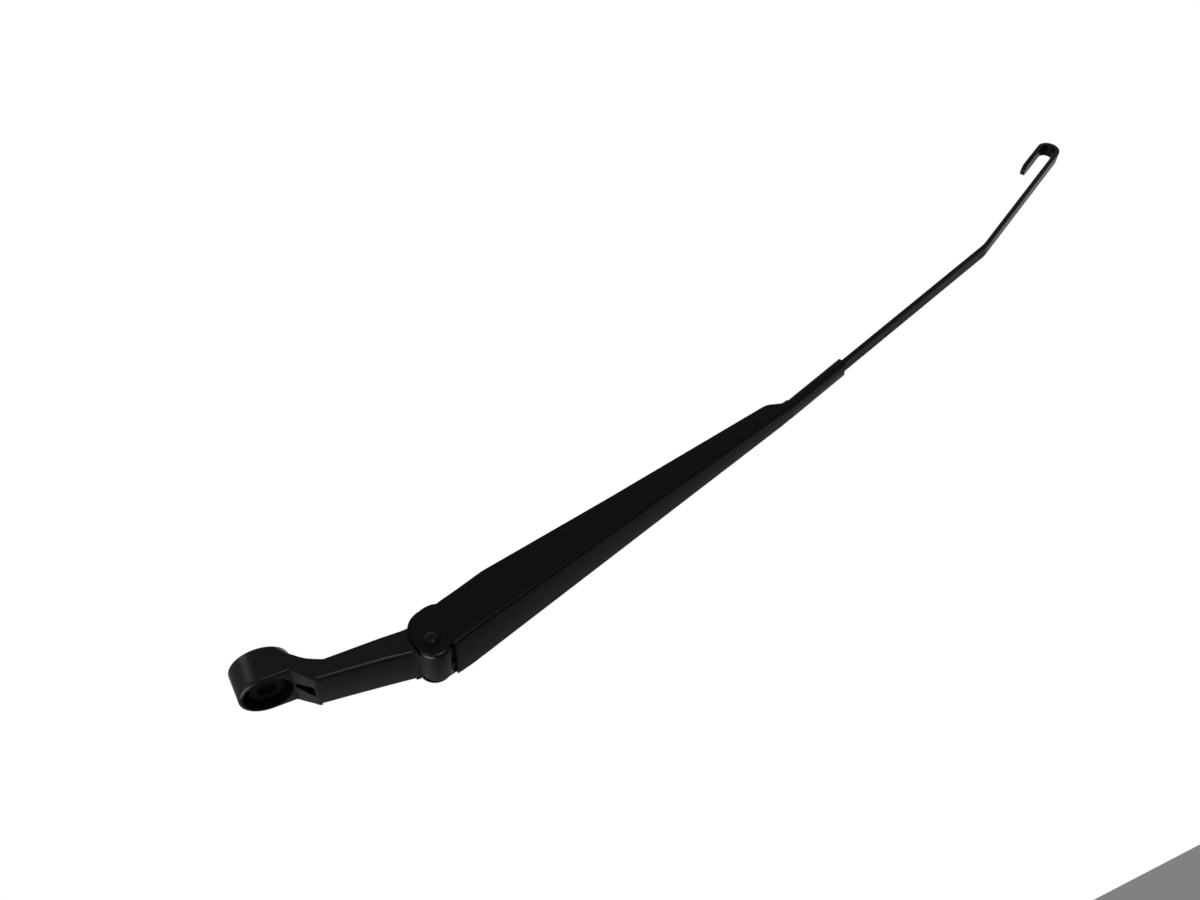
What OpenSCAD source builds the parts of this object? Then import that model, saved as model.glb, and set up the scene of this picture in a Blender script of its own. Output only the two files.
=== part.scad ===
// Hook-type wiper arm: cast mounting head, folded channel, flat rod with a J hook.
// Millimetres. Origin: the spindle axis at the nut seat. +Z points away from the
// glass, +X towards the tip, and the hinge axis lies along Y.

/* [Spindle boss] */
// Outside diameter of the boss
boss_d = 29; // [27:0.5:33]
// How much wider the boss is at its base, for the casting's draft
boss_draft = 1.6; // [0:0.1:3]
// Rounding of the boss's rim
rim_round = 1.4; // [0.5:0.1:1.6]
// Height of the boss, from its base to its rim
boss_h = 18; // [15:0.5:22]
// Depth of the nut seat below the rim
seat_depth = 3.3; // [2:0.1:4]
// Diameter of the raised nut seat
seat_d = 17.6; // [14:0.1:18]
// Depth of the cast groove around the nut seat, below the rim
groove_depth = 8; // [5:0.5:9]
// Wall between the groove and the outside of the boss
rim_wall = 2; // [1.6:0.1:3]
// Diameter of the straight bore at the nut seat
bore_d = 9.6; // [8.2:0.1:10.4]
// Length of the straight bore
bore_l = 4; // [3:0.5:5]
// Diameter of the tapered socket where the straight bore ends
socket_top_d = 10.6; // [10.4:0.1:11]
// Diameter of the tapered socket at the base of the boss
socket_mouth_d = 12.8; // [11.5:0.1:14]

/* [Head bar] */
// Distance from the spindle axis to the hinge axis
hinge_x = 80.5; // [70:0.5:95]
// Height of the hinge axis above the nut seat
hinge_z = 14.1; // [13:0.1:16]
// Where the sloping riser leaves the flat of the boss
riser_x = 13; // [12:0.5:14]
// Length of the sloping riser along the arm
riser_l = 8.3; // [7:0.1:11]
// Height of the bar's top face above the nut seat, where the riser ends
bar_top_z = 12.7; // [11:0.1:13.5]
// Height of the bar's underside above the nut seat
bar_bottom_z = 2.5; // [1.6:0.1:3.6]
// Width of the bar behind the riser
neck_w = 24.4; // [23:0.2:26.6]
// Width of the bar before the hinge
bar_w = 26; // [25:0.2:27]
// Width of the knuckle between the channel's ears
knuckle_w = 25; // [24:0.1:25.2]
// Rounding of the bar's two top edges
bar_round = 2.6; // [1:0.1:3]
// Width of the pocket in the riser that takes the cap's latch, at its wide end
latch_w = 8.4; // [6:0.2:11]
// Depth of the latch pocket below the bar's top face
latch_depth = 10.2; // [8:0.2:11]
// Wall left around the cored underside of the bar
core_wall = 4.2; // [3.6:0.1:5]
// Thickness of the rib across the cored underside
core_rib = 2.4; // [1.5:0.1:4]

/* [Hinge] */
// Radius of the cast knuckle, which stands a little above and ahead of the hinge axis
knuckle_r = 9; // [8.6:0.1:9.4]
// Diameter of the hinge rivet
hinge_d = 6; // [5:0.1:6.4]
// Radial running clearance between the rivet and its bushes
hinge_play = 0.03; // [0.02:0.01:0.08]
// Wall of the hinge bushes
bush_wall = 1; // [0.8:0.1:1.2]
// Length of each bush inside the head
bush_l = 9; // [6:0.5:9]
// Thickness of the bush collar between head and ear
collar_t = 0.45; // [0.3:0.05:0.5]
// Diameter of the bush collar
collar_d = 12; // [10:0.2:13]
// Diameter of the rivet's formed head
rivet_d = 8.4; // [7.6:0.1:10]
// Thickness of the rivet's formed head
rivet_t = 0.9; // [0.6:0.1:1.4]
// Height of the domed centre above the formed head
rivet_dome = 0.9; // [0.5:0.1:1.2]
// Angle by which the arm droops from the head when it rests on its stop
droop = 17.5; // [14:0.5:20]
// Gap left between the stop nose and the channel's web
stop_gap = 0.15; // [0.1:0.05:0.4]
// How far the stop nose reaches under the channel's web
nose_l = 14; // [12:0.5:15]

/* [Channel] */
// Thickness of the folded steel sheet
sheet = 1.3; // [1.1:0.05:1.4]
// Width over the two ears at the hinge
ear_w = 28.8; // [28.6:0.1:30]
// Width of the channel where it is widest, behind the ears
channel_w = 31.1; // [30:0.1:32.6]
// Width of the channel where the side walls end
channel_end_w = 14.9; // [14:0.1:17]
// Height of the channel's top face above the hinge axis
channel_top = 10.8; // [10.6:0.1:11.4]
// Distance from the hinge axis to the front edge of the top face
web_start = 6.9; // [6.6:0.1:8]
// Distance from the hinge axis to where the side walls end
channel_l = 249; // [220:0.5:290]
// Depth of the side walls below the hinge axis, at their deepest
wall_depth = 14.4; // [14.2:0.1:16]
// Height of the side walls' lower edge above the hinge axis, where they end
wall_end = 0.7; // [0:0.1:1.2]
// Outside radius of the two folds
fold_r = 2; // [1.9:0.1:3]
// Length of the neck that is crimped round the rod
neck_l = 51; // [40:0.5:60]
// Clearance between the rod's edges and the neck's folds
edge_play = 0.5; // [0.1:0.1:0.8]
// Gap between the two crimped lips under the rod
crimp_gap = 3; // [2:0.1:4]

/* [Rod and hook] */
// Width of the flat rod
rod_w = 9; // [8:0.1:9.2]
// Thickness of the flat rod
rod_t = 3; // [2.5:0.1:3.2]
// Distance from the hinge axis to the bend in the rod
bend_s = 462; // [400:1:520]
// Downward slope of the rod against the channel
rod_slope = 2.8; // [2:0.1:3.4]
// Further downward turn at the bend
bend_angle = 9.7; // [5:0.1:18]
// Distance from the bend to the centre of the hook
tip_l = 125; // [90:1:160]
// Clear gap inside the hook
hook_gap = 9.6; // [8.5:0.1:11]
// Length of the hook's return leg beyond the centre of the hook
hook_leg = 30; // [20:0.5:34]
// Clearance between the rod and the sheet around it
rod_play = 0.03; // [0.02:0.01:0.1]

/* [Spring and link] */
// Distance of the spring pin below the hinge axis
spring_pin_drop = 7.5; // [7.2:0.1:7.8]
// Diameter of the spring pin
spring_pin_d = 4; // [3.5:0.1:4.2]
// Radial clearance between the spring pin and the link
link_play = 0.04; // [0.02:0.01:0.08]
// Thickness of the link plate
link_t = 4; // [3:0.1:4.5]
// Distance between the link's two eyes
link_l = 26; // [25:0.5:30]
// Depth of the link's bow, which clears the knuckle
link_bow = 5.6; // [5.4:0.1:5.8]
// Width of the link's bowed part
link_band = 3; // [2.6:0.1:3.2]
// Clearance on each side of the link in its slot
slot_play = 0.75; // [0.5:0.05:1]
// Wire diameter of the tension spring
wire_d = 2.2; // [1.8:0.1:2.4]
// Outside diameter of the tension spring
spring_d = 13.8; // [12:0.1:14.5]
// Clear space between turns of the spring when the arm is at rest
turn_gap = 0.35; // [0.3:0.05:0.6]
// Mean radius of the spring's end loops
loop_r = 5; // [4.5:0.1:5.2]
// Distance from the hinge axis to the spring's hole in the rod
anchor_s = 120; // [105:1:150]
// Height of the rod's cranked tail above the hinge axis
anchor_z = -1; // [-2:0.1:0]
// Diameter of the spring's hole in the rod
anchor_d = 4.2; // [3.8:0.1:5]

/* [Hidden] */
$fn = 48;
eps = 0.01;
big = 60;

// Heights in the head, measured from the nut seat
rim_z = seat_depth;
base_z = rim_z - boss_h;
boss_r = boss_d / 2;
riser_end = riser_x + riser_l;

// Sizes of the running and seating pieces
bush_r = hinge_d / 2 + hinge_play + bush_wall;
slot_w = link_t + 2 * slot_play;
web_in = channel_top - sheet;
rod_mid = web_in - rod_play - rod_t / 2;
rod_bend_r = 30;
hook_r = (hook_gap + rod_t) / 2;
wall_peak_s = 43;
neck_s = channel_l + 8;

// Small helpers for outlines
function unit(v) = v / norm(v);
function dir(a) = [cos(a), sin(a)];
function cross2(a, b) = a.x * b.y - a.y * b.x;
function arc(c, r, a0, a1, n = 10) = [for (i = [0:n]) c + r * dir(a0 + (a1 - a0) * i / n)];
function smooth(t) = (1 - cos(180 * t)) / 2;

// A point given along and above the channel, in the frame of the head
function from_channel(p) = [hinge_x + p.x * cos(droop) + p.y * sin(droop),
                            hinge_z - p.x * sin(droop) + p.y * cos(droop)];

// The rounded corner at q of the path p, q, s, shifted by off to the left
function corner(p, q, s, r, off, n) =
    let (u = unit(q - p), v = unit(s - q), side = sign(cross2(u, v)),
         turn = acos(min(1, u * v)), c = q - u * r * tan(turn / 2) + side * r * [-u.y, u.x],
         a0 = atan2(u.y, u.x) - side * 90)
    arc(c, r - side * off, a0, a0 + side * turn, n);

// One side of a strip that follows the path, with rounded corners
function strip_side(path, radii, off, n) =
    let (last = len(path) - 1, u = unit(path[1] - path[0]), v = unit(path[last] - path[last - 1]))
    [path[0] + off * [-u.y, u.x],
     for (i = [1:last - 1]) each corner(path[i - 1], path[i], path[i + 1], radii[i - 1], off, n),
     path[last] + off * [-v.y, v.x]];
function reversed(list) = [for (i = [len(list) - 1:-1:0]) list[i]];
function strip(path, radii, w, n = 8) =
    concat(strip_side(path, radii, w / 2, n), reversed(strip_side(path, radii, -w / 2, n)));

// Draws an outline given in X and Z, w wide across the arm
module across(w) {
    rotate([90, 0, 0]) linear_extrude(w, center = true) children();
}
// Puts what is drawn along the channel in its place on the hinge
module on_channel() {
    translate([hinge_x, 0, hinge_z]) rotate([0, droop, 0]) children();
}
// A cylinder along the hinge direction, from y0 to y1
module cross_pin(r, y0, y1) {
    translate([0, y0, 0]) rotate([-90, 0, 0]) cylinder(r = r, h = y1 - y0);
}

// Head: outline of the bar's top face, seen from the side
bar_top = [[riser_end, bar_top_z - 0.9], [riser_end + 2, bar_top_z - 0.2],
           [riser_end + 5, bar_top_z + 0.1], [hinge_x - 44, bar_top_z + 1.1],
           [hinge_x - 24, bar_top_z + 3.2], [hinge_x - 11.5, bar_top_z + 4.9]];
bar_top_end = bar_top[5];
bar_rise = atan2(bar_top[5].y - bar_top[4].y, bar_top[5].x - bar_top[4].x);

// Hollow corner where the bar's top runs into the knuckle
hollow_r = 2.5;
hinge_at = [hinge_x, hinge_z];
knuckle_at = hinge_at + [1.2, 1];
hollow_off = (knuckle_at - bar_top_end) * [-sin(bar_rise), cos(bar_rise)];
hollow_run = sqrt(pow(knuckle_r + hollow_r, 2) - pow(hollow_r - hollow_off, 2));
hollow_c = bar_top_end
    + dir(bar_rise) * ((knuckle_at - bar_top_end) * dir(bar_rise) - hollow_run)
    + hollow_r * [-sin(bar_rise), cos(bar_rise)];
hollow_a = atan2(knuckle_at.y - hollow_c.y, knuckle_at.x - hollow_c.x);

// Stop nose, given along the channel at rest
nose_top = web_in - stop_gap;
knuckle_rise = [1.2 * sin(droop) + cos(droop), 1.2 * cos(droop) - sin(droop)];
nose_a0 = hollow_a + 180;
nose_a1 = asin((nose_top - knuckle_rise.x) / knuckle_r) - droop;
spring_pin_at = [hinge_x, hinge_z - spring_pin_drop];
pin_boss_r = spring_pin_d / 2 + 3.2;

head_side = [
    [0, rim_z], [riser_x, rim_z], each bar_top,
    each arc(hollow_c, hollow_r, bar_rise - 90, hollow_a, 6),
    each arc(knuckle_at, knuckle_r, nose_a0, nose_a1, 24),
    each [for (p = arc([nose_l - 2, nose_top - 2], 2, 90, 0, 5)) from_channel(p)],
    each [for (p = arc([nose_l - 4, -2], 4, 0, -50, 5)) from_channel(p)],
    each arc(spring_pin_at, pin_boss_r, -30, -100, 6),
    [hinge_x - 12, bar_bottom_z + 0.8], [hinge_x - 21, bar_bottom_z + 0.5],
    [29.8, bar_bottom_z + 0.1], [28.4, bar_bottom_z - 0.3], [24.4, bar_bottom_z - 2.3],
    [21.6, bar_bottom_z - 3.9], [18.6, bar_bottom_z - 5.9], [15.5, bar_bottom_z - 8.1],
    [13.9, bar_bottom_z - 9.4], [12.4, bar_bottom_z - 11], [10.9, bar_bottom_z - 12.8],
    [9.4, bar_bottom_z - 14.5], [7.7, bar_bottom_z - 15.6], [5.9, base_z + 1.1],
    [4.1, base_z + 0.5], [0, base_z]
];

// Plan of the head
neck_end = riser_end + 1;
flare_from = hinge_x - 24;
shoulder_from = hinge_x - 12.8;
half_plan = [
    [0, boss_r],
    for (i = [0:8]) [riser_x - 1 + (neck_end - riser_x + 1) * i / 8,
                     boss_r - (boss_r - neck_w / 2) * smooth(i / 8)],
    [flare_from, bar_w / 2],
    for (i = [0:4]) [shoulder_from + 3.6 * i / 4,
                     bar_w / 2 - (bar_w - knuckle_w) / 2 * smooth(i / 4)],
    [hinge_x + big, knuckle_w / 2]
];
module head_plan() {
    linear_extrude(2 * big, center = true)
        polygon(concat(half_plan, [for (p = reversed(half_plan)) [p.x, -p.y]]));
}

module boss_outside() {
    base_r = boss_r + boss_draft / 2;
    rotate_extrude($fn = 96) polygon([
        [0, base_z],
        each arc([base_r - 1, base_z + 1], 1, -90, 0, 4),
        each arc([boss_r - rim_round, rim_z - rim_round], rim_round, 0, 90, 5),
        [0, rim_z]
    ]);
}
// Rounds the two top edges of the flat beside the boss, of the bar and of the knuckle
module top_edges() {
    for (m = [0, 1]) mirror([0, m, 0]) {
        fold_cut([0, boss_r], [riser_x - 1, boss_r], rim_z, rim_round);
        for (i = [1:len(bar_top) - 2]) {
            p = bar_top[i];
            q = bar_top[i + 1];
            translate([p.x, 0, p.y]) rotate([0, -atan2(q.y - p.y, q.x - p.x), 0])
                fold_cut([0, lookup(p.x, half_plan)], [norm(q - p), lookup(q.x, half_plan)],
                         0, bar_round);
        }
        knuckle_edge();
    }
}
// What is cut from the knuckle's edge to round it
module knuckle_edge() {
    translate([knuckle_at.x, knuckle_w / 2, knuckle_at.y]) rotate([90, 0, 0])
        rotate_extrude($fn = 96) difference() {
            translate([knuckle_r - bar_round, -1]) square([bar_round + 1, bar_round + 1]);
            translate([knuckle_r - bar_round, bar_round]) circle(r = bar_round + 0.03);
        }
}

module boss_inside() {
    // The groove around the raised nut seat
    difference() {
        translate([0, 0, rim_z - groove_depth])
            cylinder(r = boss_r - rim_wall, h = groove_depth + eps, $fn = 96);
        translate([0, 0, -groove_depth]) cylinder(d = seat_d, h = groove_depth);
    }
    // The bore and the tapered socket below it
    translate([0, 0, -bore_l - eps]) cylinder(d = bore_d, h = bore_l + 1, $fn = 96);
    translate([0, 0, base_z])
        cylinder(d1 = socket_mouth_d, d2 = socket_top_d, h = -bore_l - base_z, $fn = 96);
    translate([0, 0, base_z - eps])
        cylinder(d1 = socket_mouth_d + 1.6, d2 = socket_mouth_d, h = 0.8, $fn = 96);
}

// Pocket in the riser, which widens towards the bar
module latch_pocket() {
    x0 = riser_x + 0.4;
    x1 = riser_end - 0.3;
    half = [[x0, latch_w / 4], [x0 + 2.5, latch_w / 2 - 1.3], [x1 - 1.2, latch_w / 2],
            each arc([x1 - 1, latch_w / 2 - 1], 1, 80, 0, 4)];
    translate([0, 0, bar_top_z - latch_depth]) linear_extrude(big)
        polygon(concat(half, [for (p = reversed(half)) [p.x, -p.y]]));
}

// Cored underside of the bar, with one rib left across it
module bar_core() {
    x0 = 31;
    x1 = hinge_x - 16;
    rib_x = (x0 + x1) / 2;
    outline = [[x0, -big], [x0 + 1, bar_top_z - core_wall], [x1 - 1, bar_top_z + 3 - core_wall],
               [x1, -big]];
    difference() {
        across(neck_w - 2 * core_wall) polygon(outline);
        translate([rib_x - core_rib / 2, -big / 2, -big]) cube([core_rib, big, 2 * big]);
    }
}

// Slot in the knuckle in which the link swings
module link_slot() {
    edge_a = 50;
    across(slot_w) difference() {
        translate(spring_pin_at) union() {
            circle(r = eye_r + 0.45);
            translate([-eye_r - 0.45, -big]) square([2 * big, big]);
            translate([0, -eps]) square([2 * big, 2 * big]);
        }
        polygon([hinge_at, hinge_at + big * dir(edge_a), [0, hinge_z + big], [0, hinge_z - 3],
                 [hinge_x - 3, hinge_z - 3]]);
    }
}

module arm_head() {
    color([0.10, 0.10, 0.11]) difference() {
        union() {
            boss_outside();
            intersection() {
                across(2 * big) polygon(head_side);
                head_plan();
            }
        }
        top_edges();
        boss_inside();
        latch_pocket();
        bar_core();
        link_slot();
        translate([hinge_x, 0, hinge_z]) cross_pin(bush_r, -big, big);
        translate([hinge_x, 0, hinge_z - spring_pin_drop]) cross_pin(spring_pin_d / 2, -big, big);
    }
}

// Flanged bush on the side given by its sign
module hinge_bush(side) {
    y0 = knuckle_w / 2 - bush_l;
    color([0.75, 0.73, 0.66]) translate([hinge_x, 0, hinge_z])
        rotate([0, 0, side > 0 ? 0 : 180]) difference() {
            union() {
                cross_pin(bush_r, y0, knuckle_w / 2 + collar_t);
                cross_pin(collar_d / 2, knuckle_w / 2, knuckle_w / 2 + collar_t);
            }
            cross_pin(hinge_d / 2 + hinge_play, y0 - 1, knuckle_w);
        }
}
module hinge_bush_near() { hinge_bush(1); }
module hinge_bush_far() { hinge_bush(-1); }

module spring_pin() {
    color([0.62, 0.62, 0.60]) translate([hinge_x, 0, hinge_z - spring_pin_drop])
        cross_pin(spring_pin_d / 2, -knuckle_w / 2, knuckle_w / 2);
}

// Rivet with a formed head and a domed centre on both sides
module hinge_pin() {
    dome_r = (pow(hinge_d / 2, 2) + pow(rivet_dome, 2)) / (2 * rivet_dome);
    half = ear_w / 2;
    color([0.13, 0.13, 0.14]) translate([hinge_x, 0, hinge_z]) {
        cross_pin(hinge_d / 2, -half - eps, half + eps);
        for (side = [0, 180]) rotate([0, 0, side]) {
            cross_pin(rivet_d / 2, half, half + rivet_t);
            intersection() {
                translate([0, half + rivet_t + rivet_dome - dome_r, 0]) sphere(r = dome_r, $fn = 64);
                cross_pin(hinge_d / 2, half, half + rivet_t + rivet_dome + 1);
            }
        }
    }
}

// Channel: sizes of the ears and of the neck
neck_end_s = channel_l + 8 + neck_l;
neck_h = rod_t + 2 * (sheet + rod_play);
ear_r = 8.6;
lobe_c = [3.4, -5.2];
lobe_r = 11.2;
taper_s = 16;
crimp_w = rod_w + 2 * (sheet + edge_play);
crimp_r = fold_r - 0.7;

// A fold's rounding: what is cut from the corner that runs from p to q, r in radius
module fold_cut(p, q, top, r) {
    run = q - p;
    translate([p.x, p.y, top]) rotate([0, 0, atan2(run.y, run.x)]) difference() {
        translate([-0.5, -r, -r]) cube([norm(run) + 1, r + 1, r + 1]);
        // A little over r, so that the fold crosses both faces and has a clean edge there
        translate([-1, -r, -r]) rotate([0, 90, 0]) cylinder(r = r + 0.03, h = norm(run) + 2);
    }
}
// The folded sheet's outer form, or its inner form where inset is the sheet's thickness.
// The ears stand closer than the walls behind them.
module folded(inset, s0, s1) {
    top = channel_top - inset;
    r = fold_r - inset;
    plan = [[s0, ear_w / 2 - inset], [3, ear_w / 2 - inset], [taper_s, channel_w / 2 - inset],
            [channel_l, channel_end_w / 2 - inset], [neck_s + 1, crimp_w / 2 - inset]];
    side = concat([for (p = plan) if (p.x < s1) p], [[s1, lookup(s1, plan)]]);
    difference() {
        translate([0, 0, -big]) linear_extrude(top + big)
            polygon(concat(side, [for (p = reversed(side)) [p.x, -p.y]]));
        for (m = [0, 1], i = [1:3]) mirror([0, m, 0]) fold_cut(plan[i], plan[i + 1], top, r);
    }
}
// The neck's outer form, which follows the rod
module crimped() {
    translate([neck_s, 0, channel_top]) rotate([0, rod_slope, 0]) difference() {
        translate([0, -crimp_w / 2, -neck_h]) cube([neck_l + 12, crimp_w, neck_h]);
        for (m = [0, 1]) mirror([0, m, 0]) {
            fold_cut([-1, crimp_w / 2], [neck_l + 12, crimp_w / 2], 0, crimp_r);
            translate([0, 0, -neck_h]) mirror([0, 0, 1])
                fold_cut([-1, crimp_w / 2], [neck_l + 12, crimp_w / 2], 0, crimp_r);
        }
    }
}
// Space for the rod inside the neck, open between the two lips
module crimp_inside() {
    tunnel = [[channel_l - 2, web_in], [neck_s, web_in],
              [neck_end_s + 8, web_in - (neck_end_s + 8 - neck_s) * tan(rod_slope)]];
    under = [for (p = reversed(tunnel)) p - [0, rod_t + 2 * rod_play]];
    across(rod_w + 2 * rod_play) polygon(concat(tunnel, under));
    across(crimp_gap)
        polygon([[channel_l - 2, web_in - rod_t], [channel_l - 2, -big], [neck_end_s + 8, -big],
                 [neck_end_s + 8, web_in - rod_t - neck_l * tan(rod_slope)]]);
}
// The side wall's outline: two round lobes at the ear, a long taper and a step up to the neck
module wall_outline() {
    translate([0.3, 0.2]) circle(r = ear_r, $fn = 96);
    translate(lobe_c) circle(r = lobe_r, $fn = 96);
    translate([6.5, -4.2]) circle(r = lobe_r + 0.9, $fn = 96);
    polygon([
        [neck_s, channel_top + 1], [web_start, channel_top + 1], [web_start, ear_r],
        [0.3, ear_r], [-7.9, 0.2], [-7.6, lobe_c.y], [13, -wall_depth + 0.7],
        [28, -wall_depth + 0.5], [wall_peak_s - 3, -wall_depth + 0.05],
        [wall_peak_s, -wall_depth], [wall_peak_s + 3, -wall_depth + 0.15], [125, -wall_depth + 6.5],
        [channel_l - 8, wall_end - 0.6], [channel_l - 5.5, wall_end - 0.1],
        [channel_l - 3.5, wall_end + 0.7], [channel_l - 1.5, wall_end + 2],
        [channel_l + 0.5, wall_end + 3.2], [channel_l + 3, channel_top - neck_h],
        [neck_s, channel_top - neck_h]
    ]);
}

module channel() {
    color([0.11, 0.11, 0.12]) on_channel() difference() {
        union() {
            intersection() {
                folded(0, -20, neck_s);
                across(2 * big) wall_outline();
            }
            crimped();
        }
        folded(sheet, -21, channel_l - 1);
        crimp_inside();
        cross_pin(hinge_d / 2, -big, big);
        // The neck's end is cut at a slant
        translate([neck_end_s, -crimp_w / 2, 0]) rotate([0, 0, 9])
            translate([0, -big / 2, -big]) cube([big, 2 * big, 2 * big]);
    }
}

// Rod: the path of its middle line along the channel
rod_dir = -rod_slope - bend_angle;
rod_bend = [bend_s, rod_mid - (bend_s - neck_s) * tan(rod_slope)];
hook_c0 = rod_bend + (tip_l + hook_r) * dir(rod_dir);
hook_c1 = hook_c0 + 2 * hook_r * dir(rod_dir - 90);
leg_end = hook_c1 - (hook_r + hook_leg - rod_w / 2) * dir(rod_dir);
tail_end = [anchor_s, anchor_z];
rod_path = [tail_end - [rod_w, 0], [anchor_s + 9, anchor_z], [anchor_s + 9 + (rod_mid - anchor_z) / tan(40), rod_mid],
            [neck_s, rod_mid], rod_bend, hook_c0, hook_c1, leg_end - rod_w * dir(rod_dir)];

// What is cut from the strip's end to round it about p, where the strip runs in direction a
module round_end(p, a) {
    translate([p.x, 0, p.y]) rotate([0, -a, 0]) difference() {
        translate([-2 * rod_w, -rod_w, -rod_t]) cube([2 * rod_w, 2 * rod_w, 2 * rod_t]);
        translate([0, 0, -rod_t - 1]) cylinder(d = rod_w + 0.1, h = 2 * rod_t + 2);
    }
}
module arm_rod() {
    color([0.10, 0.10, 0.11]) on_channel() difference() {
        across(rod_w) polygon(strip(rod_path, [5, 5, 60, rod_bend_r, hook_r, hook_r], rod_t));
        round_end(tail_end, 0);
        round_end(leg_end, rod_dir);
        translate([anchor_s, 0, anchor_z - big / 2]) cylinder(d = anchor_d, h = big);
    }
}

// Link and spring lie on the line from the spring pin to the hole in the rod
anchor_at = from_channel([anchor_s, anchor_z]);
pull = anchor_at - spring_pin_at;
pull_a = atan2(pull.y, pull.x);
pull_l = norm(pull);
module on_link() {
    translate([spring_pin_at.x, 0, spring_pin_at.y]) rotate([0, -pull_a, 0]) children();
}

eye_r = spring_pin_d / 2 + 1.9;
hole_r = wire_d / 2 + 0.7;
module spring_link() {
    bow = [[0, 0], [5, -link_bow], [link_l - 8, -link_bow], [link_l, 0]];
    color([0.55, 0.54, 0.50]) on_link() difference() {
        union() {
            cross_pin(eye_r, -link_t / 2, link_t / 2);
            across(link_t) polygon(strip(bow, [4, 6], link_band));
            translate([link_l, 0, 0]) cross_pin(hole_r + 1.8, -link_t / 2, link_t / 2);
        }
        cross_pin(spring_pin_d / 2 + link_play, -big, big);
        translate([link_l, 0, 0]) cross_pin(hole_r, -big, big);
    }
}

// Spring: a helix with a loop bent up at each end, as one wire
coil_r = (spring_d - wire_d) / 2;
coil_x0 = link_l + 2 * loop_r + 1.5;
coil_x1 = pull_l - 2 * loop_r - 1.5;
pitch = wire_d + turn_gap;
turns = floor((coil_x1 - coil_x0) / pitch);
steps = 12;
coil_pitch = (coil_x1 - coil_x0) / turns;
function helix(t) = [coil_x0 + coil_pitch * t, coil_r * cos(360 * t), coil_r * sin(360 * t)];
front_c = link_l + loop_r;
rear_c = pull_l - loop_r;
wire_path = concat(
    // Front loop in the plane across the link's hole
    [for (a = [-130:20:50]) [front_c - loop_r * cos(a), loop_r * sin(a), 0]],
    [[front_c - loop_r * cos(75) + 1, loop_r * sin(75) + 0.3, 0],
     [coil_x0 - 2.2, coil_r - 0.25, -0.9]],
    [for (i = [0:turns * steps]) helix(i / steps)],
    // Rear loop in the plane across the rod's hole
    [[coil_x1 + 2.0, coil_r * 0.86, coil_r * 0.42], [coil_x1 + 3.4, coil_r * 0.42, coil_r * 0.78]],
    [for (a = [110:-20:-130]) [rear_c + loop_r * cos(a), 0, loop_r * sin(a)]]
);
function tangent(path, i) =
    unit(path[min(i + 1, len(path) - 1)] - path[max(i - 1, 0)]);
module wire(path, d, sides) {
    count = len(path);
    t = [for (i = [0:count - 1]) tangent(path, i)];
    // Each ring's first direction is the last one's, turned square to the wire
    n = [for (i = 0, v = unit(cross(t[0], [0, 0, 1])); i < count;
              i = i + 1, v = i < count ? unit(v - (v * t[i]) * t[i]) : v) v];
    rings = [for (i = [0:count - 1]) let (b = cross(t[i], n[i]))
             for (k = [0:sides - 1]) path[i] + d / 2 * (cos(360 * k / sides) * n[i]
                                                        + sin(360 * k / sides) * b)];
    walls = [for (i = [0:count - 2]) for (k = [0:sides - 1]) let (m = (k + 1) % sides)
             [i * sides + k, i * sides + m, (i + 1) * sides + m, (i + 1) * sides + k]];
    polyhedron(rings, concat(walls, [[for (k = [sides - 1:-1:0]) k],
                                     [for (k = [0:sides - 1]) (count - 1) * sides + k]]));
}
module tension_spring() {
    color([0.50, 0.50, 0.50]) on_link() wire(wire_path, wire_d, 6);
}

arm_head();
hinge_bush_near();
hinge_bush_far();
spring_pin();
channel();
hinge_pin();
arm_rod();
spring_link();
tension_spring();
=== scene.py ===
"""Wiper arm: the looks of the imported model, its stage and its camera.

Each rigid piece is a copy of its CAD solid with rounded edges and a real finish.
The spring is drawn anew, because it stretches as the arm is lifted.
"""

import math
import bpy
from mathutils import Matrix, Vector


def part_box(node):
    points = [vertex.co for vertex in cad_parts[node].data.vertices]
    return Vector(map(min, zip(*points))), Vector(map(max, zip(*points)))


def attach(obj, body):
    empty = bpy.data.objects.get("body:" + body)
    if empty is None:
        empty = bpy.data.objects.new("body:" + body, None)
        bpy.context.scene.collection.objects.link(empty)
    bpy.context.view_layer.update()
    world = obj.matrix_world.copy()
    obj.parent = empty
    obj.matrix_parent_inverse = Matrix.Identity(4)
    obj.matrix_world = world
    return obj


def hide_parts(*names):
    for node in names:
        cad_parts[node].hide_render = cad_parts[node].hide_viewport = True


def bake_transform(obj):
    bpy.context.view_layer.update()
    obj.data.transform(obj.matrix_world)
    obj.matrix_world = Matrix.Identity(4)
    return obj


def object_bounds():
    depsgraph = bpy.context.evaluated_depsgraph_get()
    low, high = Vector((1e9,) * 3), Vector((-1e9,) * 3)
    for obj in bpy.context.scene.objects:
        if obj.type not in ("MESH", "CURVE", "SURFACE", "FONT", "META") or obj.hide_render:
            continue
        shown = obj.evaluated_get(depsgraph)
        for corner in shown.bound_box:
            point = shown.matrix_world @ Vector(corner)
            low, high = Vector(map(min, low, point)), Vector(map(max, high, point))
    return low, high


bl_info = {
    "name": "Wiper arm",
    "version": (1, 0, 0),
    "blender": (4, 5, 0),
    "location": "3D View > Sidebar > Wiper arm",
    "description": "Dresses a hook-type wiper arm and sets its stage",
    "category": "Object",
}

import bmesh
import bpy
from bpy.props import FloatProperty, IntProperty, PointerProperty, StringProperty
from mathutils import Matrix, Vector

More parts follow.
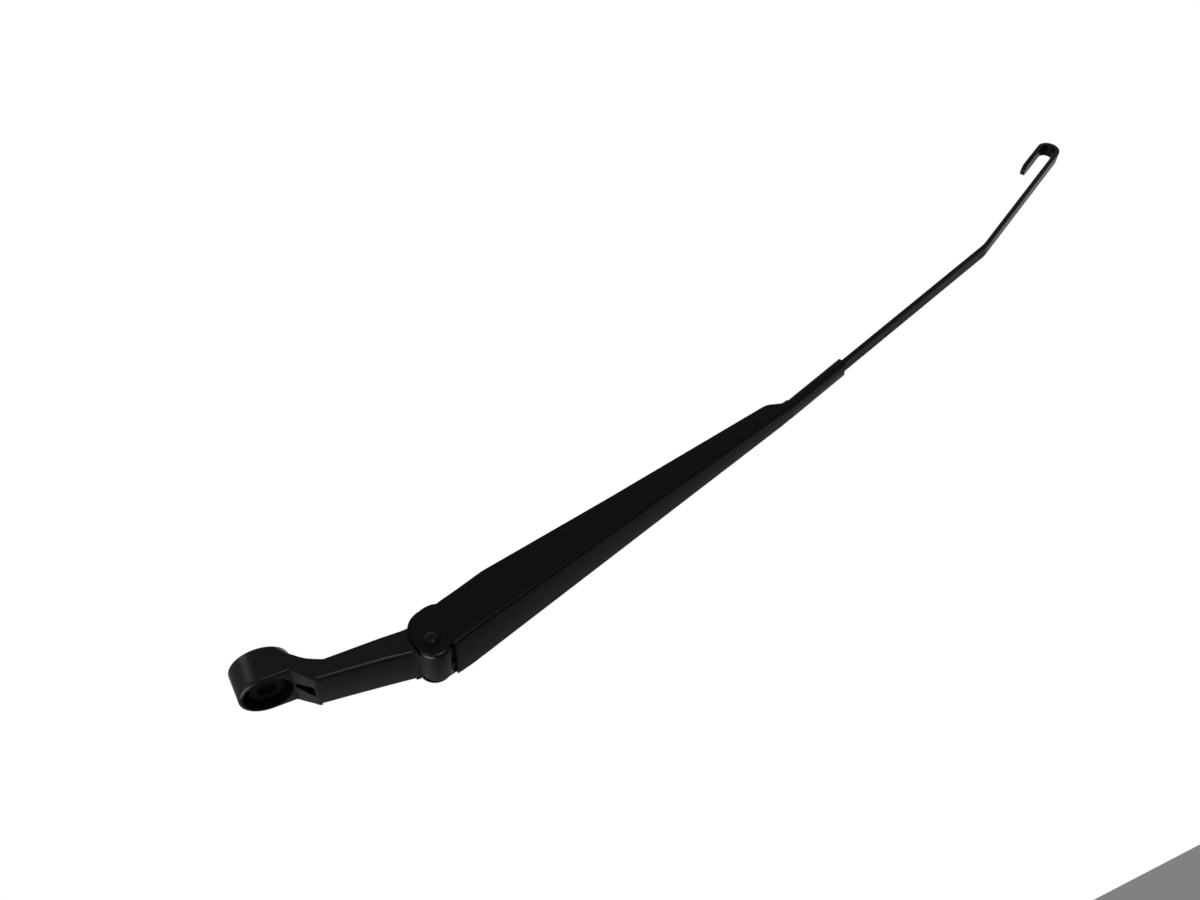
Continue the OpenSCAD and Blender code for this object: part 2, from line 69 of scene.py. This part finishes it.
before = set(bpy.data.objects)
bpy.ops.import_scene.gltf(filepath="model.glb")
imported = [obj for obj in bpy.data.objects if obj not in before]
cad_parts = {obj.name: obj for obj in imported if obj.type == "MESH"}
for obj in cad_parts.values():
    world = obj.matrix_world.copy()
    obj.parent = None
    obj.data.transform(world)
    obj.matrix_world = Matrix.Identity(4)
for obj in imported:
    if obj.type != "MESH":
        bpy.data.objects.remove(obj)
CAD_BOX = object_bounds()
MM = 0.001  # lengths are in metres

# Cleaning and rounding of the CAD solids
WELD = 0.002 * MM  # points nearer than this become one
FLAT = math.radians(0.4)  # faces that turn by less than this become one
SHARP = math.radians(32)  # edges that turn by more than this are rounded
RIVET_EDGE = 0.25 * MM
SMALL_EDGE = 0.12 * MM  # on the bushes, the spring pin and the link

# Sizes as in the CAD
SEAT_DEPTH = 3.3 * MM  # from the boss's rim down to the nut's seat, where z is 0
DROOP = math.radians(17.5)  # slope of the channel against the head
ANCHOR = (120 * MM, -1 * MM)  # the spring's hole in the rod, along and across the channel
LINK = 26 * MM  # from the spring pin to the link's hole, where the front loop begins
LOOP_RADIUS = 5 * MM  # both loops, to the middle of the wire
COIL_RADIUS = 5.8 * MM  # to the middle of the wire
COIL_GAP = 1.5 * MM  # between a loop and the coil
COIL_PITCH = 2.55 * MM  # the coil's turns are at least this far apart
TURN_STEPS = 28  # parts that a turn of the coil is drawn in


# Small helpers

def linear(hex_colour):
    """sRGB hex to linear RGBA."""
    parts = [int(hex_colour.lstrip("#")[i:i + 2], 16) / 255 for i in (0, 2, 4)]
    return [c / 12.92 if c <= 0.04045 else ((c + 0.055) / 1.055) ** 2.4 for c in parts] + [1.0]


def node(tree, kind, options=None, links=None, **inputs):
    """Adds a node with its options, its incoming links and its input values."""
    made = tree.nodes.new(kind)
    for name, value in (options or {}).items():
        setattr(made, name, value)
    for name, value in inputs.items():
        made.inputs[name.replace("_", " ")].default_value = value
    for name, source in (links or {}).items():
        tree.links.new(source, made.inputs[name])
    return made


def shader(name):
    """A new material with an empty tree and its output."""
    made = bpy.data.materials.new(name)
    made.use_nodes = True
    made.node_tree.nodes.clear()
    out = made.node_tree.nodes.new("ShaderNodeOutputMaterial")
    return made, made.node_tree, out


def mesh_object(name, mesh):
    """A new object with that mesh, in the scene."""
    obj = bpy.data.objects.new(name, mesh)
    bpy.context.scene.collection.objects.link(obj)
    return obj


def solid_copy(source, name, edge, segments=3):
    """A CAD solid's copy as clean faces, with its sharp edges rounded to that radius in metres."""
    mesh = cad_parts[source].data.copy()
    mesh.name = name
    obj = mesh_object(name, mesh)
    work = bmesh.new()
    work.from_mesh(mesh)
    bmesh.ops.remove_doubles(work, verts=work.verts, dist=WELD)
    bmesh.ops.dissolve_limit(work, angle_limit=FLAT, use_dissolve_boundaries=False,
                             verts=work.verts, edges=work.edges)
    work.to_mesh(mesh)
    work.free()
    mesh.materials.clear()
    # The normals that came with the solid don't fit its cleaned faces
    old_normals = mesh.attributes.get("custom_normal")
    if old_normals:
        mesh.attributes.remove(old_normals)
    mesh.polygons.foreach_set("use_smooth", [True] * len(mesh.polygons))
    mesh.set_sharp_from_angle(angle=SHARP)
    bevel = obj.modifiers.new("rounded edges", "BEVEL")
    bevel.width = edge
    bevel.segments = segments
    bevel.limit_method = "ANGLE"
    bevel.angle_limit = SHARP
    bevel.use_clamp_overlap = True
    bevel.harden_normals = True
    bevel.miter_outer = "MITER_ARC"
    return obj


# Finishes

SHADED_RECESS_GLOSS = 0.3  # the share of the coat's gloss left inside the boss, where less sheen is painted shade


def uneven(tree, place, roughness, spread, patch_mm, detail):
    """A roughness that goes up and down by at most that spread, in patches of that size."""
    patches = node(tree, "ShaderNodeTexNoise", links={"Vector": place.outputs["Object"]},
                   Scale=1 / (patch_mm * MM), Detail=detail)
    rough = node(tree, "ShaderNodeMapRange", links={"Value": patches.outputs["Fac"]})
    rough.inputs["To Min"].default_value = roughness - spread
    rough.inputs["To Max"].default_value = roughness + spread
    return rough.outputs["Result"]


def satin_paint(name, colour, roughness, gloss, grain_mm, grain_height_mm):
    """Black paint over metal: a soft sheen broken by the fine skin that paint dries with."""
    made, tree, out = shader(name)
    place = node(tree, "ShaderNodeTexCoord")
    # Orange peel: waves under a millimetre apart, a few microns high
    peel = node(tree, "ShaderNodeTexNoise", links={"Vector": place.outputs["Object"]},
                Scale=1 / (grain_mm * MM), Detail=3.0, Roughness=0.55)
    bump = node(tree, "ShaderNodeBump", links={"Height": peel.outputs["Fac"]},
                Strength=0.35, Distance=grain_height_mm * MM)
    # Handling and dust make the sheen a little uneven over some centimetres
    worn = uneven(tree, place, roughness, spread=0.05, patch_mm=14, detail=4.0)
    paint = node(tree, "ShaderNodeBsdfPrincipled",
                 links={"Normal": bump.outputs["Normal"], "Roughness": worn})
    paint.inputs["Base Color"].default_value = linear(colour)
    paint.inputs["IOR"].default_value = 1.5
    paint.inputs["Specular IOR Level"].default_value = gloss
    tree.links.new(paint.outputs["BSDF"], out.inputs["Surface"])
    return made


def plain_metal(name, colour, roughness, mark_mm):
    """Bare or plated metal, with the faint marks that making it leaves."""
    made, tree, out = shader(name)
    place = node(tree, "ShaderNodeTexCoord")
    marked = uneven(tree, place, roughness, spread=0.08, patch_mm=mark_mm, detail=2.0)
    metal = node(tree, "ShaderNodeBsdfPrincipled", links={"Roughness": marked}, Metallic=1.0)
    metal.inputs["Base Color"].default_value = linear(colour)
    tree.links.new(metal.outputs["BSDF"], out.inputs["Surface"])
    return made


# Settings

class WiperArmShape(bpy.types.PropertyGroup):
    head_edge: FloatProperty(name="Head edge radius", description="Rounding of the casting's edges",
                             default=0.4 * MM, min=0.1 * MM, max=0.8 * MM, unit="LENGTH")
    # The darker, less glossy coat of painted shade reaches this far inside the boss
    recess_d: FloatProperty(name="Recess width",
                            description="The dull coat inside the boss reaches this far",
                            default=25.4 * MM, min=18 * MM, max=28 * MM, unit="LENGTH")
    sheet_edge: FloatProperty(name="Sheet edge radius",
                              description="Rounding of the channel's cut edges",
                              default=0.25 * MM, min=0.05 * MM, max=0.4 * MM, unit="LENGTH")
    rod_edge: FloatProperty(name="Rod edge radius",
                            description="Rounding of the flat rod's rolled edges",
                            default=0.2 * MM, min=0.1 * MM, max=1.2 * MM, unit="LENGTH")
    wire: FloatProperty(name="Spring wire", description="Diameter of the spring's wire",
                        default=2.2 * MM, min=1.6 * MM, max=2.4 * MM, unit="LENGTH")
    wire_sides: IntProperty(name="Wire sides", description="Sides of the round wire",
                            default=12, min=6, max=24)


class WiperArmFinish(bpy.types.PropertyGroup):
    cast_black: StringProperty(name="Head", description="Powder coat on the cast head, sRGB hex",
                               default="#070707")
    # Painted shade: a darker black than the head's, for the shade inside the boss
    recess_shade_black: StringProperty(name="Recess", description="Powder coat inside the boss, sRGB hex",
                                 default="#040404")
    sheet_black: StringProperty(name="Channel and rod", description="Paint on the steel, sRGB hex",
                                default="#090909")
    head_gloss: FloatProperty(name="Head gloss", description="Strength of the powder coat's sheen",
                              default=0.4, min=0.0, max=1.0, subtype="FACTOR")
    sheet_gloss: FloatProperty(name="Steel gloss", description="Strength of the sheen on the steel",
                               default=0.18, min=0.0, max=1.0, subtype="FACTOR")
    spring_grey: StringProperty(name="Spring", description="Drawn spring wire, sRGB hex",
                                default="#8a8a8c")
    plate_grey: StringProperty(name="Link and pin", description="Zinc plate, sRGB hex",
                               default="#b4b3ae")
    bush_bronze: StringProperty(name="Bushes", description="Sintered bronze, sRGB hex",
                                default="#a98555")


class WiperArmStage(bpy.types.PropertyGroup):
    floor: StringProperty(name="Floor", description="Colour of the floor, sRGB hex",
                          default="#f4f4f4")
    floor_drop: FloatProperty(name="Floor drop", description="Height of the arm above the floor",
                              default=0.9, min=0.0, max=2.0, unit="LENGTH")
    top_power: FloatProperty(name="Top softbox",
                             description="Power of the large softbox above the boss",
                             default=28.0, min=0.0, unit="POWER")
    left_power: FloatProperty(name="Left softbox", description="Power of the softbox at the left",
                              default=0.8, min=0.0, unit="POWER")
    side_power: FloatProperty(name="Side softbox",
                              description="Power of the small softbox beyond the boss",
                              default=1.0, min=0.0, unit="POWER")
    front_power: FloatProperty(name="Front softbox", description="Power of the softbox in front",
                               default=5.0, min=0.0, unit="POWER")
    ambient: FloatProperty(name="Room light", description="Strength of the room's walls",
                           default=0.22, min=0.0, max=1.0)
    ceiling: FloatProperty(name="Ceiling", description="Strength of the room's ceiling",
                           default=0.05, min=0.0, max=1.0)


def settings():
    """The three groups of settings: shape, finish and stage."""
    scene = bpy.context.scene
    return scene.wiper_shape, scene.wiper_finish, scene.wiper_stage


# Pieces

class WIPER_OT_head(bpy.types.Operator):
    """Makes the cast mounting head"""
    bl_idname = "wiper.head"
    bl_label = "Mounting head"

    def execute(self, context):
        shape, finish, _ = settings()
        # Die casting with a powder coat: smooth and a little glossier than the painted sheet
        coat = satin_paint("Powder coat, satin black", finish.cast_black, roughness=0.30,
                           gloss=finish.head_gloss, grain_mm=0.9, grain_height_mm=0.010)
        # Painted shade: inside the boss the coat is darker and less glossy, standing in for the
        # shade of the recess
        dull = satin_paint("Powder coat, painted shade in the boss", finish.recess_shade_black, roughness=0.5,
                           gloss=finish.head_gloss * SHADED_RECESS_GLOSS,
                           grain_mm=0.9, grain_height_mm=0.010)
        head = solid_copy("arm_head", "mounting_head", shape.head_edge)
        head.data.materials.append(coat)
        head.data.materials.append(dull)
        # Every face inside the boss, but neither its rim nor its underside
        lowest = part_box("arm_head")[0][2] + 2 * MM
        highest = SEAT_DEPTH - 0.1 * MM
        for face in head.data.polygons:
            at = face.center
            if math.hypot(at.x, at.y) < shape.recess_d / 2 and lowest < at.z < highest:
                face.material_index = 1
        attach(head, "head")
        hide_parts("arm_head")
        return {"FINISHED"}


class WIPER_OT_steel(bpy.types.Operator):
    """Makes the folded channel, the hinge rivet and the hook rod"""
    bl_idname = "wiper.steel"
    bl_label = "Channel, rivet and rod"

    def execute(self, context):
        shape, finish, _ = settings()
        # Electrophoretic paint on pressed steel: thin, even and satin
        paint = satin_paint("Paint on steel, satin black", finish.sheet_black, roughness=0.40,
                            gloss=finish.sheet_gloss, grain_mm=0.7, grain_height_mm=0.006)
        pieces = {
            "channel": ("folded_channel", shape.sheet_edge),
            "arm_rod": ("hook_rod", shape.rod_edge),
            "hinge_pin": ("hinge_rivet", RIVET_EDGE),
        }
        for source, (name, edge) in pieces.items():
            piece = solid_copy(source, name, edge)
            piece.data.materials.append(paint)
            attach(piece, "arm")
            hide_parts(source)
        return {"FINISHED"}


class WIPER_OT_hinge_parts(bpy.types.Operator):
    """Finishes the bushes, the spring pin and the link"""
    bl_idname = "wiper.hinge_parts"
    bl_label = "Bushes, pin and link"

    def execute(self, context):
        _, finish, _ = settings()
        bronze = plain_metal("Sintered bronze, oiled", finish.bush_bronze, roughness=0.45,
                             mark_mm=0.4)
        zinc = plain_metal("Zinc plate on steel, dull", finish.plate_grey, roughness=0.42,
                           mark_mm=0.6)
        for source, name, body, metal, slot in (
            ("hinge_bush_near", "bush_near", "head", bronze, "bush"),
            ("hinge_bush_far", "bush_far", "head", bronze, "bush"),
            ("spring_pin", "spring_cross_pin", "head", zinc, "bare_steel"),
            ("spring_link", "bowed_link", "link", zinc, "bare_steel"),
        ):
            piece = solid_copy(source, name, SMALL_EDGE, segments=2)
            piece.data.materials.append(metal)
            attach(piece, body)
            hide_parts(source)
        return {"FINISHED"}


def arc(radius, start_deg, sweep_deg, steps):
    """Points of an arc round its centre, evenly spaced."""
    for i in range(steps + 1):
        angle = math.radians(start_deg + sweep_deg * i / steps)
        yield radius * math.cos(angle), radius * math.sin(angle)


def spring_path():
    """Points of the wire's middle in the row frame, and the two ends of its coil."""
    # The action line runs from the spring pin to the hole in the rod's tail
    low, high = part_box("spring_pin")
    pin = (Vector(low) + Vector(high)) / 2
    hinge_low, hinge_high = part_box("hinge_pin")
    hinge = (Vector(hinge_low) + Vector(hinge_high)) / 2
    hole_s, hole_z = ANCHOR
    hole = hinge + Vector((hole_s * math.cos(DROOP) + hole_z * math.sin(DROOP), 0,
                           -hole_s * math.sin(DROOP) + hole_z * math.cos(DROOP)))
    pull = hole - pin
    along = pull.normalized()
    up = Vector((-along.z, 0, along.x))
    side = Vector((0, 1, 0))
    coil_0 = LINK + 2 * LOOP_RADIUS + COIL_GAP
    coil_1 = pull.length - 2 * LOOP_RADIUS - COIL_GAP
    turns = math.floor((coil_1 - coil_0) / COIL_PITCH)

    # Front loop, flat in the plane across the link's hole
    centre = LINK + LOOP_RADIUS
    points = [(centre - c, s, 0) for c, s in arc(LOOP_RADIUS, -130, 180, 24)]
    # The wire leaves it sideways and dips a little before the coil begins
    leaving = math.radians(75)
    points.append((centre - LOOP_RADIUS * math.cos(leaving) + 1 * MM,
                   LOOP_RADIUS * math.sin(leaving) + 0.3 * MM, 0))
    points.append((coil_0 - 2.2 * MM, COIL_RADIUS - 0.25 * MM, -0.9 * MM))
    # Coil
    for i in range(turns * TURN_STEPS + 1):
        turn = i / TURN_STEPS
        points.append((coil_0 + (coil_1 - coil_0) * turn / turns,
                       COIL_RADIUS * math.cos(2 * math.pi * turn),
                       COIL_RADIUS * math.sin(2 * math.pi * turn)))
    # The wire rises from the coil's side to the top of the rear loop
    points.append((coil_1 + 2.0 * MM, COIL_RADIUS * 0.86, COIL_RADIUS * 0.42))
    points.append((coil_1 + 3.4 * MM, COIL_RADIUS * 0.42, COIL_RADIUS * 0.78))
    # Rear loop, flat in the plane across the rod's hole
    centre = pull.length - LOOP_RADIUS
    points += [(centre + c, 0, s) for c, s in arc(LOOP_RADIUS, 110, -240, 30)]

    # Each point is written along the action line, to the side and up
    world = [pin + along * x + side * y + up * z for x, y, z in points]
    return world, pin + along * coil_0, pin + along * coil_1


def wire_tree(material):
    """Geometry nodes that turn a path into round wire."""
    tree = bpy.data.node_groups.new("Round wire along a path", "GeometryNodeTree")
    sockets = tree.interface
    sockets.new_socket("Path", in_out="INPUT", socket_type="NodeSocketGeometry")
    radius = sockets.new_socket("Wire radius", in_out="INPUT", socket_type="NodeSocketFloat")
    sides = sockets.new_socket("Sides", in_out="INPUT", socket_type="NodeSocketInt")
    sockets.new_socket("Wire", in_out="OUTPUT", socket_type="NodeSocketGeometry")
    start = node(tree, "NodeGroupInput")
    curve = node(tree, "GeometryNodeMeshToCurve", links={"Mesh": start.outputs["Path"]})
    ring = node(tree, "GeometryNodeCurvePrimitiveCircle",
                links={"Resolution": start.outputs["Sides"],
                       "Radius": start.outputs["Wire radius"]})
    wire = node(tree, "GeometryNodeCurveToMesh",
                links={"Curve": curve.outputs["Curve"], "Profile Curve": ring.outputs["Curve"]})
    wire.inputs["Fill Caps"].default_value = True
    smooth = node(tree, "GeometryNodeSetShadeSmooth", links={"Geometry": wire.outputs["Mesh"]})
    real = node(tree, "GeometryNodeRealizeInstances",
                links={"Geometry": smooth.outputs["Geometry"]})
    dressed = node(tree, "GeometryNodeSetMaterial", links={"Geometry": real.outputs["Geometry"]})
    dressed.inputs["Material"].default_value = material
    node(tree, "NodeGroupOutput", links={"Wire": dressed.outputs["Geometry"]})
    return tree, radius.identifier, sides.identifier


class WIPER_OT_spring(bpy.types.Operator):
    """Makes the tension spring, which stretches between its two hooks"""
    bl_idname = "wiper.spring"
    bl_label = "Tension spring"

    def execute(self, context):
        shape, finish, _ = settings()
        # Cold-drawn wire: a tight sheen under a little oil
        steel = plain_metal("Drawn spring steel, oiled", finish.spring_grey, roughness=0.36,
                            mark_mm=0.3)
        points, coil_start, coil_end = spring_path()
        path = bpy.data.meshes.new("spring_path")
        path.from_pydata(points, [(i, i + 1) for i in range(len(points) - 1)], [])
        draft = mesh_object("spring_draft", path)
        tree, radius_id, sides_id = wire_tree(steel)
        modifier = draft.modifiers.new("wire", "NODES")
        modifier.node_group = tree
        modifier[radius_id] = shape.wire / 2
        modifier[sides_id] = shape.wire_sides
        depsgraph = context.evaluated_depsgraph_get()
        mesh = bpy.data.meshes.new_from_object(draft.evaluated_get(depsgraph))
        bpy.data.objects.remove(draft)
        spring = mesh_object("tension_spring_wire", mesh)
        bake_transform(spring)
        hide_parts("tension_spring")
        return {"FINISHED"}


# Stage

# The sheet ends just outside the picture at the left, so that the boss mirrors the dim room
# there. It also ends too soon at the far right, where the picture's lower right corner shows
# the room: by reckoning it would have to reach x = 8.5 and y = -13 to fill that corner.
FLOOR_X = (-0.76, 7.0)
FLOOR_Y = (-9.0, 0.5)
LAMP_TARGET = (0.15, 0.0, -0.03)
# The camera as it was fitted to the picture
CAMERA_AT = (0.006016, 0.545798, 0.332346)
CAMERA_RIGHT = (0.90591, 0.02991, 0.42241)
CAMERA_UP = (0.30760, 0.63910, -0.70493)
CAMERA_BACK = (-0.29105, 0.76854, 0.56977)


def area_light(name, direction, distance, width, power):
    """A square softbox in that direction from the target, turned towards it."""
    lamp = bpy.data.lights.new(name, "AREA")
    lamp.energy = power
    lamp.size = width
    obj = bpy.data.objects.new(name, lamp)
    bpy.context.scene.collection.objects.link(obj)
    way = Vector(direction).normalized()
    obj.location = Vector(LAMP_TARGET) + way * distance
    obj.rotation_euler = way.to_track_quat("Z", "Y").to_euler()
    obj.visible_camera = False


def seen_white(tree):
    """1 for the rays that show the white floor: camera, glossy and transmission rays."""
    path = node(tree, "ShaderNodeLightPath")
    shown = path.outputs["Is Camera Ray"]
    for kind in ("Is Glossy Ray", "Is Transmission Ray"):
        either = node(tree, "ShaderNodeMath", {"operation": "MAXIMUM"})
        tree.links.new(shown, either.inputs[0])
        tree.links.new(path.outputs[kind], either.inputs[1])
        shown = either.outputs[0]
    return shown


def paper_floor(stage):
    """Matt paper, well below the arm, which hangs on its spindle."""
    white, tree, out = shader("Matt paper, white")
    matt = node(tree, "ShaderNodeBsdfDiffuse")
    matt.inputs["Color"].default_value = linear(stage.floor)
    glow = node(tree, "ShaderNodeEmission", Strength=1.0)
    mix = node(tree, "ShaderNodeMixShader")
    tree.links.new(seen_white(tree), mix.inputs[0])
    tree.links.new(matt.outputs[0], mix.inputs[1])
    tree.links.new(glow.outputs[0], mix.inputs[2])
    tree.links.new(mix.outputs[0], out.inputs["Surface"])
    (left, right), (back, front) = FLOOR_X, FLOOR_Y
    z = CAD_BOX[0][2] - stage.floor_drop
    sheet = bpy.data.meshes.new("floor")
    sheet.from_pydata([(left, back, z), (right, back, z), (right, front, z), (left, front, z)],
                      [], [(0, 1, 2, 3)])
    sheet.materials.append(white)
    floor = mesh_object("floor", sheet)


def dim_room(stage):
    """A world like a dim room, around the sheet of paper."""
    world = bpy.data.worlds.new("Dim studio")
    world.use_nodes = True
    tree = world.node_tree
    room = tree.nodes["Background"]
    room.inputs["Color"].default_value = (1, 1, 1, 1)
    # Its dark ceiling shows as the thin dark line beside the bar's bright edge
    place = node(tree, "ShaderNodeTexCoord")
    split = node(tree, "ShaderNodeSeparateXYZ", links={"Vector": place.outputs["Generated"]})
    shade = node(tree, "ShaderNodeMapRange", links={"Value": split.outputs["Z"]})
    shade.inputs["From Min"].default_value = 0.3
    shade.inputs["From Max"].default_value = 0.9
    shade.inputs["To Min"].default_value = stage.ambient
    shade.inputs["To Max"].default_value = stage.ceiling
    tree.links.new(shade.outputs["Result"], room.inputs["Strength"])
    return world


def picture_camera():
    """The camera that sees the arm as the picture does."""
    lens = bpy.data.cameras.new("camera")
    lens.sensor_width = 36.0
    lens.lens = 37.42
    lens.clip_start = 0.01
    lens.clip_end = 100.0
    camera = bpy.data.objects.new("camera", lens)
    bpy.context.scene.collection.objects.link(camera)
    turn = Matrix((CAMERA_RIGHT, CAMERA_UP, CAMERA_BACK)).transposed()
    camera.matrix_world = Matrix.Translation(CAMERA_AT) @ turn.to_4x4()
    return camera


class WIPER_OT_stage(bpy.types.Operator):
    """Sets the floor, the dim room, the softboxes and the camera"""
    bl_idname = "wiper.stage"
    bl_label = "Stage and camera"

    def execute(self, context):
        _, _, stage = settings()
        scene = context.scene
        scene.view_settings.view_transform = "Standard"
        paper_floor(stage)
        scene.world = dim_room(stage)
        # Direction from the target, then distance and width in metres
        for name, direction, distance, width, power in (
            ("softbox_top", (-0.8, -0.1, 0.65), 2.0, 1.6, stage.top_power),
            ("softbox_left", (-0.66, 0.49, -0.50), 1.2, 0.45, stage.left_power),
            # Level with the arm, it lightens the boss's left wall
            ("softbox_side", (-0.88, 0.22, -0.12), 1.6, 0.4, stage.side_power),
            # It draws the bright line along the bar's rounded edge
            ("softbox_front", (0.08, 0.87, 0.36), 1.6, 0.7, stage.front_power),
        ):
            area_light(name, direction, distance, width, power)
        scene.camera = picture_camera()
        return {"FINISHED"}


class WIPER_PT_panel(bpy.types.Panel):
    """Lists the arm's settings and pieces"""
    bl_label = "Wiper arm"
    bl_idname = "WIPER_PT_panel"
    bl_space_type = "VIEW_3D"
    bl_region_type = "UI"
    bl_category = "Wiper arm"

    def draw(self, context):
        for group in settings():
            box = self.layout.box()
            for name in group.__annotations__:
                box.prop(group, name)
        for step in STEPS:
            self.layout.operator(step.bl_idname)


GROUPS = {
    "wiper_shape": WiperArmShape,
    "wiper_finish": WiperArmFinish,
    "wiper_stage": WiperArmStage,
}
STEPS = (WIPER_OT_head, WIPER_OT_steel, WIPER_OT_hinge_parts, WIPER_OT_spring, WIPER_OT_stage)


def register():
    for name, group in GROUPS.items():
        bpy.utils.register_class(group)
        setattr(bpy.types.Scene, name, PointerProperty(type=group))
    for step in (*STEPS, WIPER_PT_panel):
        bpy.utils.register_class(step)


def unregister():
    for step in (*STEPS, WIPER_PT_panel):
        bpy.utils.unregister_class(step)
    for name, group in GROUPS.items():
        delattr(bpy.types.Scene, name)
        bpy.utils.unregister_class(group)


def main():
    register()
    bpy.ops.wiper.head()
    bpy.ops.wiper.steel()
    bpy.ops.wiper.hinge_parts()
    bpy.ops.wiper.spring()
    bpy.ops.wiper.stage()


if __name__ == "__main__":
    main()
